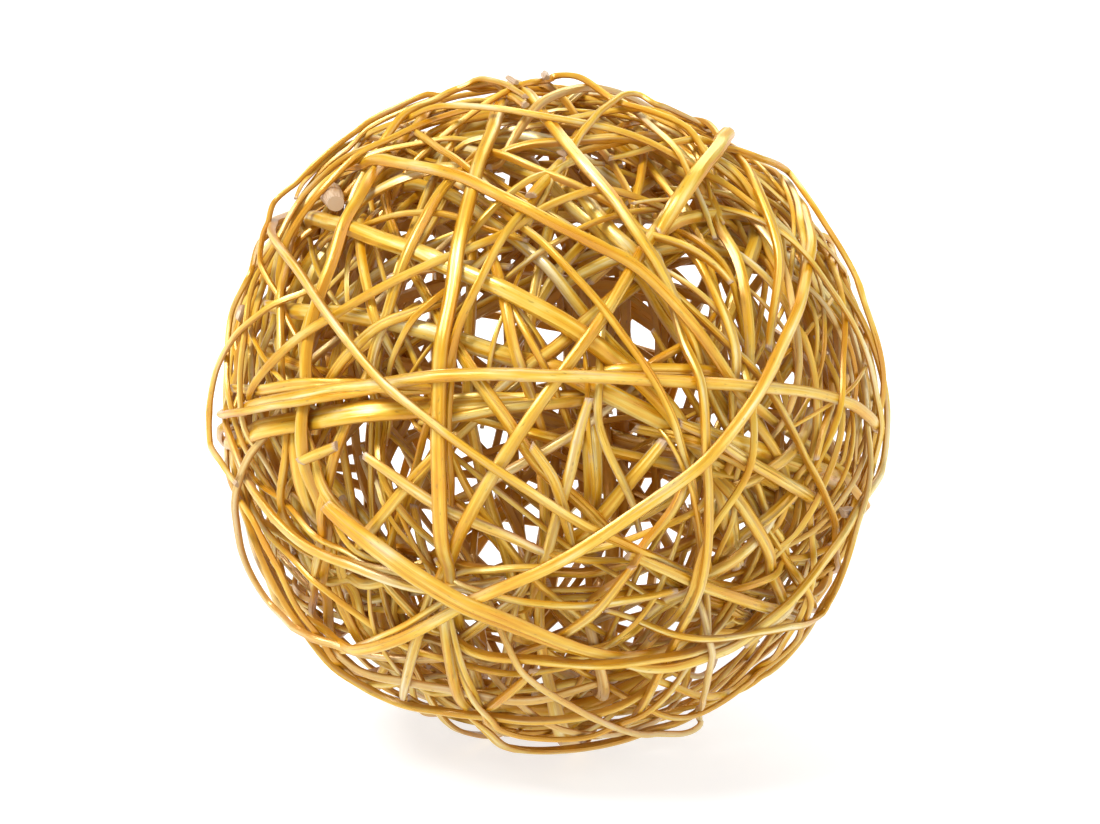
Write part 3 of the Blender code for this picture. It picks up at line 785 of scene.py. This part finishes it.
def thin_section(rng):
    """A low dome with its ridge near the middle."""
    across = np.array([-1, -0.86, -0.45, 0.0, 0.45, 0.86, 1, 0.8, 0.0, -0.8])
    ridge = rng.uniform(-0.3, 0.3)
    up = 0.5 - 0.62 * np.abs(across - ridge) ** 1.8
    up[[0, 6]] = -0.16
    up[7:] = (-0.42, -0.5, -0.42)
    # The brown at the edges is painted shade; the brown on the back is partly thinner paint and partly
    # painted shade.
    return across, up, np.array([1, 0.5, 0, 0, 0, 0.5, 1, 1, 1, 1])


def split_section(rng):
    """A split strip: a dome with its ridge to one side, grooves in it, and a flat back."""
    across = np.array([-1, -0.95, -0.78, -0.52, -0.24, 0.05, 0.33, 0.60, 0.82, 0.95, 1,
                       0.88, 0.4, -0.4, -0.88])
    ridge = rng.choice([-1, 1]) * rng.uniform(0.05, 0.45)
    sharp = rng.uniform(1.5, 2.6)
    up = 0.5 - rng.uniform(0.55, 0.75) * (np.abs(across - ridge) / (1 + abs(ridge))) ** sharp
    up[[1, 9]] -= 0.07
    up[[0, 10]] = (up[0] * 0.5 - 0.14, up[10] * 0.5 - 0.14)
    # The brown along the edges and in the grooves is painted shade, with some bark at the edges; the brown
    # on the flat back is partly thinner paint and partly painted shade.
    brown_and_shade = np.array([1, 0.75, 0.25, 0, 0, 0, 0, 0, 0.25, 0.75, 1, 1, 1, 1, 1])
    for groove in set(rng.integers(2, 9, 2)):
        up[groove] -= rng.uniform(0.05, 0.20)
        brown_and_shade[groove] += 0.55
    up[11:] = (-0.44, -0.5, -0.5, -0.44)
    return across, up, np.minimum(brown_and_shade, 1)


# Corners round the section: across in half widths, up in thicknesses, and how much brown and painted shade
# each takes
SECTIONS = {"rod": rod_section, "stub": rod_section, "thin": thin_section, "wisp": thin_section}


def buds_along(strand):
    """Where the nodes of old buds are, along the strand."""
    places, at = [], strand.rng.uniform(0.01, 0.07)
    while at < strand.along[-1]:
        places.append(at)
        at += strand.rng.uniform(*BUDS)
    return places


def bell(values, width):
    """1 at nought, falling off to either side over about the width."""
    return np.exp(-(values / width) ** 2)


def rolled(strand):
    """Angles by which the section turns about the strand, with one twist somewhere."""
    length, along, rng = strand.along[-1], strand.along, strand.rng
    if strand.kind == "foot":
        return np.zeros_like(along)
    roll = smooth(knotted(rng, length, *ROLLS, along), 4)
    twist = rng.uniform(0.15, 0.85) * length
    return roll + math.radians(rng.uniform(-TWIST, TWIST)) * bell(along - twist, TWIST_LENGTH)


def sizes(strand):
    """Half widths and thicknesses along the strand, and how much its old buds swell there."""
    length, along, rng = strand.along[-1], strand.along, strand.rng
    swell = np.zeros_like(along)
    for place in buds_along(strand):
        swell += rng.uniform(0.3, 1.0) * bell(along - place, BUD_LENGTH)
    width = strand.width / 2 * (1 + smooth(knotted(rng, length, *WIDENS, along), 3))
    width *= (1 + BUD_WIDER * swell) * (1 - strand.slim)
    width *= 1 + rng.uniform(-WIDTH_SPREAD, WIDTH_SPREAD)
    thick = strand.thick * (1 + smooth(knotted(rng, length, *THICKENS, along), 3))
    thick *= 1 + BUD_THICKER * swell
    end = np.minimum(along, length - along)
    taper = 1 - TAPER + TAPER * rising(end, 0.0, TAPER_LENGTH) ** 0.7
    return width * taper, thick * taper, swell


def skin(count, ring):
    """Faces over so many rings of corners: the four-sided ones, and a cap at either end."""
    first = np.arange(count - 1)[:, None] * ring
    a = (first + np.arange(ring)[None, :]).ravel()
    b = (first + (np.arange(ring)[None, :] + 1) % ring).ravel()
    quads = np.stack([a, b, b + ring, a + ring], -1)
    caps = [list(range(ring))[::-1], list(range((count - 1) * ring, count * ring))]
    return quads.tolist() + caps


def swept(strand):
    """Sweep the section along the strand. Returns a ring of corners for every sample, how
    much brown and painted shade each corner of a ring takes, and how bare each ring."""
    rng, along = strand.rng, strand.along
    across, up, brown_and_shade = SECTIONS.get(strand.kind, split_section)(rng)
    points = CENTRE + strand.unit * strand.reach[:, None]
    ahead = unit(np.gradient(points, axis=0))
    outward = unit(strand.unit - ahead * (strand.unit * ahead).sum(1, keepdims=True))
    side = np.cross(outward, ahead)
    roll = rolled(strand)[:, None]
    flat = np.cos(roll) * side + np.sin(roll) * outward
    top = np.cos(roll) * outward - np.sin(roll) * side
    width, thick, swell = sizes(strand)
    wave = np.stack([smooth(knotted(rng, along[-1], *RIPPLES, along), 1.5)
                     for _ in across], -1)
    height = (up[None, :] + wave) * thick[:, None]
    grid = (points[:, None, :] + flat[:, None, :] * (across[None, :] * width[:, None])[..., None]
            + top[:, None, :] * height[..., None])
    for row, slant in ((0, rng.uniform(-SLANT, SLANT)), (-1, rng.uniform(-SLANT, SLANT))):
        grid[row] += ahead[row] * (across * width[row] * slant)[:, None]
    grid[..., 2] = np.maximum(grid[..., 2], LOWEST)
    end = np.minimum(along, along[-1] - along)
    bare = BUD_BARE * swell ** 2 + np.exp(-end / CUT_BARE) + ("b" in strand.ends)
    return grid, brown_and_shade, np.clip(bare, 0, 1)


def add_grain(mesh, grid, along):
    """Grain coordinates: the length along the strand, and the way round the section."""
    count, ring = grid.shape[:2]
    middle = grid[count // 2]
    edges = np.linalg.norm(np.diff(middle, axis=0, append=middle[:1]), axis=1)
    round_it = np.concatenate([[0.0], np.cumsum(edges)])
    row = np.repeat(np.arange(count - 1), ring)
    col = np.tile(np.arange(ring), count - 1)
    corner_u = np.stack([along[row], along[row], along[row + 1], along[row + 1]], -1)
    corner_v = np.stack([round_it[col], round_it[col + 1], round_it[col + 1], round_it[col]], -1)
    coords = np.zeros((len(mesh.loops), 2))
    used = corner_u.size
    coords[:used, 0], coords[:used, 1] = corner_u.ravel(), corner_v.ravel()
    grain = mesh.uv_layers.new(name="grain")
    grain.data.foreach_set("uv", (coords * GRAIN_PER_METRE).ravel())


def add_look(mesh, strand, brown_and_shade, bare):
    """What the paint reads at every corner: tone, bareness, a number of the strand, and brown with painted
    shade.
    """
    tone = strand.rng.uniform(0.0, WOVEN_TONES if strand.node else 1.0)
    colours = np.empty((len(bare), len(brown_and_shade), 4))
    colours[..., 0] = tone
    colours[..., 1] = bare[:, None]
    colours[..., 2] = (strand.number * GOLDEN) % 1.0
    colours[..., 3] = brown_and_shade
    look = mesh.color_attributes.new("look", "FLOAT_COLOR", "POINT")
    look.data.foreach_set("color", colours.ravel())


def add_strand(strand, home):
    """Make the piece for a strand."""
    grid, brown_and_shade, bare = swept(strand)
    mesh = bpy.data.meshes.new(strand.name + "_willow")
    mesh.from_pydata(grid.reshape(-1, 3).tolist(), [], skin(*grid.shape[:2]))
    mesh.shade_smooth()
    add_grain(mesh, grid, strand.along)
    add_look(mesh, strand, brown_and_shade, bare)
    mesh.set_sharp_from_angle(angle=SHARP)
    mesh.validate()
    piece = bpy.data.objects.new(strand.name + "_willow", mesh)
    home.objects.link(piece)
    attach(piece, "root")
    if strand.node:
        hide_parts(strand.node)
    kind = strand.kind
    mesh.materials.append(gold_paint(kind))


# ---------------- gold paint
GRAIN_PER_METRE = 10.0  # the grain coordinates of a mesh count tenths of a metre
SEED_STEP = 37.0  # keeps the patterns of any two strands apart
PAINTS = {}  # the paints made so far
PAINT_LOOKS = {  # lengthwise streaks per metre, and how metallic the paint is
    "broad": (26.0, 0.18), "strip": (30.0, 0.18), "slim": (34.0, 0.16),
    "thin": (40.0, 0.15), "rod": (22.0, 0.18), "foot": (26.0, 0.18),
    "wisp": (44.0, 0.12), "stub": (22.0, 0.0),
}
# From the deepest gold to the palest, and bare wood: place on the ramp, and colour
GOLDS = [(0.42, (0.60, 0.240, 0.002)), (0.52, (0.71, 0.395, 0.010)),
         (0.61, (0.74, 0.540, 0.090)), (0.70, (0.79, 0.700, 0.430))]
WOODS = [(0.35, (0.38, 0.22, 0.12)), (0.65, (0.60, 0.44, 0.30))]
DULL = (0.62, 0.40, 0.19)  # some strands
# Colour of the brown mark: thinner paint on backs and bark at edges, and painted shade along edges, in
# grooves and on the sides toward the ball centre.
BROWN_AND_SHADE = (0.46, 0.155, 0.003)  # backs, edges and grooves
SPECK = (0.20, 0.10, 0.025)  # short dark lines
VARNISH = {"IOR": 1.80, "Specular Tint": (1.0, 0.88, 0.52, 1.0), "Coat Weight": 0.20,
           "Coat Roughness": 0.22, "Coat IOR": 1.70}
RELIEF = {"Strength": 0.75, "Distance": 0.00034}
# Streaks, fibres and specks: per metre along the strand and across it
STREAKS_ACROSS = 620.0
FIBRES = (130.0, 3600.0)
SPECKS = (420.0, 1500.0)
PATCHES = 55.0  # per metre, whichever way the strand runs


def preset(node, values):
    """Set inputs of a shader node by name."""
    for name, value in values.items():
        node.inputs[name].default_value = value


class Paint:
    """A material, and short ways to add to its nodes."""

    def __init__(self, name):
        self.material = bpy.data.materials.new(name)
        self.material.use_nodes = True
        tree = self.material.node_tree
        self.nodes, self.link = tree.nodes, tree.links.new
        self.shader = self.nodes["Principled BSDF"]

    def put(self, value, socket):
        """Set a socket to a number or a colour, or link it to the output of a node."""
        if isinstance(value, (int, float)):
            socket.default_value = value
        elif isinstance(value, tuple):
            socket.default_value = (*value, 1.0)
        else:
            self.link(value, socket)

    def reckon(self, operation, first, second, clamp=False):
        node = self.nodes.new("ShaderNodeMath")
        node.operation, node.use_clamp = operation, clamp
        self.put(first, node.inputs[0])
        self.put(second, node.inputs[1])
        return node.outputs[0]

    def plus(self, first, second):
        return self.reckon("ADD", first, second)

    def times(self, first, second, clamp=False):
        return self.reckon("MULTIPLY", first, second, clamp)

    def minus(self, first, second):
        return self.reckon("SUBTRACT", first, second)

    def beyond(self, value, start, slope):
        """0 up to start, then rising to 1 with this slope."""
        return self.times(self.minus(value, start), slope, True)

    def noise(self, vector, detail, scale=1.0):
        node = self.nodes.new("ShaderNodeTexNoise")
        preset(node, {"Scale": scale, "Detail": detail})
        self.link(vector, node.inputs["Vector"])
        return node.outputs["Fac"]

    def ramp(self, value, stops):
        node = self.nodes.new("ShaderNodeValToRGB")
        node.color_ramp.interpolation = "B_SPLINE" if len(stops) > 2 else "LINEAR"
        while len(node.color_ramp.elements) < len(stops):
            node.color_ramp.elements.new(0.5)
        for element, (place, colour) in zip(node.color_ramp.elements, stops):
            element.position, element.color = place, (*colour, 1.0)
        self.link(value, node.inputs["Fac"])
        return node.outputs["Color"]

    def mix(self, factor, first, second):
        """From the first colour to the second as the factor goes from 0 to 1."""
        node = self.nodes.new("ShaderNodeMix")
        node.data_type = "RGBA"
        self.link(factor, node.inputs["Factor"])
        self.put(first, node.inputs[6])
        self.put(second, node.inputs[7])
        return node.outputs[2]

    def read_look(self):
        """Tone, bareness, number, and brown with painted shade, as add_look() left them."""
        look = self.nodes.new("ShaderNodeAttribute")
        look.attribute_name = "look"
        parts = self.nodes.new("ShaderNodeSeparateColor")
        self.link(look.outputs["Color"], parts.inputs[0])
        return (*parts.outputs, look.outputs["Alpha"])

    def along_grain(self, split, seed, lengthwise, across):
        """Coordinates that count the given times a metre along the strand and across it."""
        node = self.nodes.new("ShaderNodeCombineXYZ")
        self.link(self.times(split.outputs[0], lengthwise / GRAIN_PER_METRE), node.inputs[0])
        self.link(self.times(split.outputs[1], across / GRAIN_PER_METRE), node.inputs[1])
        self.link(self.times(seed, SEED_STEP), node.inputs[2])
        return node.outputs[0]


def gold_paint(kind):
    """Satin gold paint on willow: streaks and fibres along the grain, worn where bare."""
    if kind in PAINTS:
        return PAINTS[kind]
    streaks, metallic = PAINT_LOOKS[kind]
    coat = Paint("gold_paint_" + kind)
    plus, times, minus, beyond, mix = coat.plus, coat.times, coat.minus, coat.beyond, coat.mix
    grain = coat.nodes.new("ShaderNodeUVMap")
    grain.uv_map = "grain"
    split = coat.nodes.new("ShaderNodeSeparateXYZ")
    coat.link(grain.outputs["UV"], split.inputs[0])
    tone, bare, seed, brown_and_shade = coat.read_look()
    place = coat.nodes.new("ShaderNodeTexCoord")

    streak = coat.noise(coat.along_grain(split, seed, streaks, STREAKS_ACROSS), 3.0)
    fibre = coat.noise(coat.along_grain(split, seed, *FIBRES), 2.0)
    patch = coat.noise(place.outputs["Object"], 3.0, PATCHES)
    speck = coat.noise(coat.along_grain(split, seed, *SPECKS), 1.0)

    level = plus(times(streak, 0.55), times(patch, 0.35))
    level = plus(level, times(tone, 0.10))
    level = plus(level, times(fibre, 0.12))
    paint = coat.ramp(level, GOLDS)
    dull = beyond(tone, 0.86, 7.0)
    paint = mix(times(dull, 0.55), paint, DULL)
    # Painted shade together with real brown: backs, edges and grooves are darkened toward the brown colour.
    shade = times(brown_and_shade, plus(times(streak, 1.1), 0.25), True)
    paint = mix(times(shade, 0.90), paint, BROWN_AND_SHADE)
    wood = coat.ramp(fibre, WOODS)
    worn = plus(times(bare, 1.3), times(minus(fibre, 0.5), 1.2))
    worn = plus(worn, times(minus(patch, 0.66), 2.0))
    worn = beyond(worn, 0.30, 2.2)
    colour = mix(worn, paint, wood)
    colour = mix(times(beyond(speck, 0.66, 7.0), 0.55), colour, SPECK)
    gloss = plus(times(streak, 0.22), 0.20)
    gloss = plus(gloss, times(worn, 0.22))

    coat.link(colour, coat.shader.inputs["Base Color"])
    coat.link(gloss, coat.shader.inputs["Roughness"])
    coat.link(times(minus(1.0, worn), metallic), coat.shader.inputs["Metallic"])
    preset(coat.shader, VARNISH)
    bump = coat.nodes.new("ShaderNodeBump")
    preset(bump, RELIEF)
    coat.link(plus(times(streak, 0.7), times(fibre, 0.35)), bump.inputs["Height"])
    coat.link(bump.outputs["Normal"], coat.shader.inputs["Normal"])
    PAINTS[kind] = coat.material
    return coat.material


# ---------------- floor, light and camera
WHITE = (1.0, 1.0, 1.0, 1.0)
PALE_FLOOR = {"Base Color": (0.42, 0.42, 0.418, 1.0), "Emission Color": WHITE,
              "Emission Strength": 0.72, "Roughness": 0.9, "Specular IOR Level": 0.1}
WHITE_ROOM = {"Color": WHITE, "Strength": 0.34}
SUNS = {  # degrees right of the viewer, degrees up, strength, spread in degrees
    "key": (-56.0, 54.0, 3.72, 24.0),
    "fill": (55.0, 35.0, 0.72, 40.0),
    "back": (160.0, 50.0, 1.3, 40.0),
}


def stage():
    """A plain pale floor that fills the view, turned up at its far edge."""
    sides, radius, rim, rise = 48, 14.0, 15.0, 3.2
    turns = [2 * math.pi * k / sides for k in range(sides)]
    verts = [(radius * math.cos(a), radius * math.sin(a), 0.0) for a in turns]
    verts += [(rim * math.cos(a), rim * math.sin(a), rise) for a in turns]
    faces = [tuple(range(sides))]
    faces += [((k + 1) % sides, k, k + sides, (k + 1) % sides + sides) for k in range(sides)]
    mesh = bpy.data.meshes.new("floor")
    mesh.from_pydata(verts, [], faces)
    floor = bpy.data.objects.new("floor", mesh)
    bpy.context.scene.collection.objects.link(floor)
    paint = Paint("pale_floor")
    preset(paint.shader, PALE_FLOOR)
    mesh.materials.append(paint.material)


def lights():
    """Soft white surroundings, a wide soft light from the upper left and two weaker ones."""
    bpy.context.scene.view_settings.view_transform = "Standard"
    world = bpy.data.worlds.new("white_room")
    bpy.context.scene.world = world
    world.use_nodes = True
    preset(world.node_tree.nodes["Background"], WHITE_ROOM)
    distance = 1.5
    for name, (turn, rise, strength, spread) in SUNS.items():
        data = bpy.data.lights.new(name, "SUN")
        data.energy = strength
        data.angle = math.radians(spread)
        lamp = bpy.data.objects.new(name, data)
        a, e = math.radians(turn), math.radians(rise)
        away = Vector((math.sin(a) * math.cos(e), -math.cos(a) * math.cos(e), math.sin(e)))
        lamp.rotation_euler = away.to_track_quat("Z", "Y").to_euler()
        lamp.location = away * distance
        bpy.context.scene.collection.objects.link(lamp)


def camera():
    """The viewing angle: straight from the front, looking down by NOD."""
    data = bpy.data.cameras.new("camera")
    data.lens, data.sensor_width = LENS, SENSOR
    data.clip_start, data.clip_end = 0.05, 60.0
    eye = bpy.data.objects.new("camera", data)
    eye.location = EYE.tolist()
    eye.rotation_euler = (math.pi / 2 - NOD, 0.0, 0.0)
    bpy.context.scene.collection.objects.link(eye)
    bpy.context.scene.camera = eye


# ---------------- making
def main():
    home = bpy.data.collections.new("willow_ball")
    bpy.context.scene.collection.children.link(home)
    strands = all_strands()
    settle(strands)
    for strand in strands:
        add_strand(strand, home)
    stage()
    lights()
    camera()


main()
bpy.context.view_layer.update()
